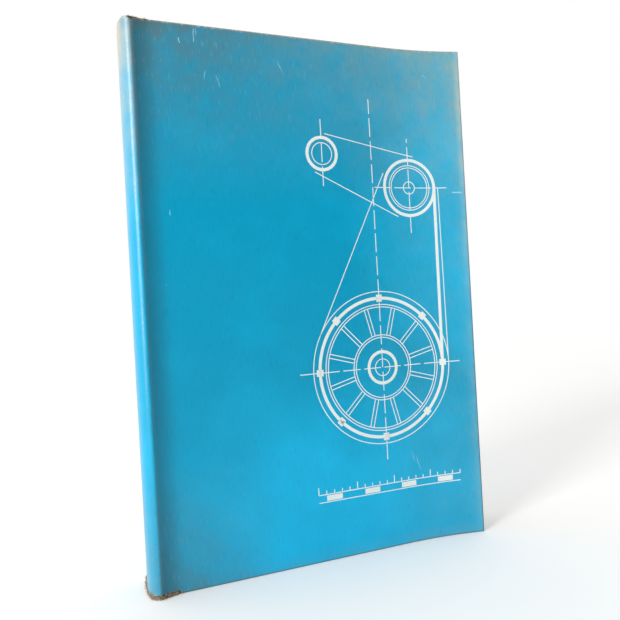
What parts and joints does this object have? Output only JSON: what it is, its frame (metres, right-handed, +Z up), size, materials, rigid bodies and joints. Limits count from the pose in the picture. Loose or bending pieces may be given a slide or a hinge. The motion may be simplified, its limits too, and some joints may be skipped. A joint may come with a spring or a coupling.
{
  "type": "hardback book",
  "caption": "Upright cloth-covered hardback book with a rounded hollow spine that has rolled towards its front, warped front board, sewn leaves and a front cover that swings open at its joint.",
  "frame": {"origin": "on the floor, in the middle of the closed book's footprint as it stands on its tail edges", "axes": "+Z up from tail to head, the front cover faces -Y, the spine is at -X and the fore-edge at +X"},
  "size_m": [0.1654, 0.03, 0.24],
  "materials": {
    "book_cloth": "coated, slightly glossy",
    "board": "raw grey board",
    "endpaper": "matt",
    "leaves": "matt, browned edges",
    "lining": "raw",
    "band": "woven"
  },
  "bodies": {
    "book": {"back_cloth": "book_cloth", "back_board": "board", "back_pastedown": "endpaper", "spine_cloth": "book_cloth", "spine_inlay": "board", "spine_lining": "lining", "front_flyleaf": "endpaper", "back_flyleaf": "endpaper", "section_01": "leaves", "section_02": "leaves", "section_03": "leaves", "section_04": "leaves", "section_05": "leaves", "section_06": "leaves", "section_07": "leaves", "section_08": "leaves", "section_09": "leaves", "section_10": "leaves", "headband": "band", "tailband": "band"},
    "front_cover": {"front_cloth": "book_cloth", "front_board": "board", "front_pastedown": "endpaper"}
  },
  "joints": [
    {"name": "front_cover_hinge", "type": "hinge", "parent": "book", "child": "front_cover", "pos_m": [-0.07361, -0.01073, 0], "axis": [0, 0, -1], "range_deg": [0, 175]}
  ]
}
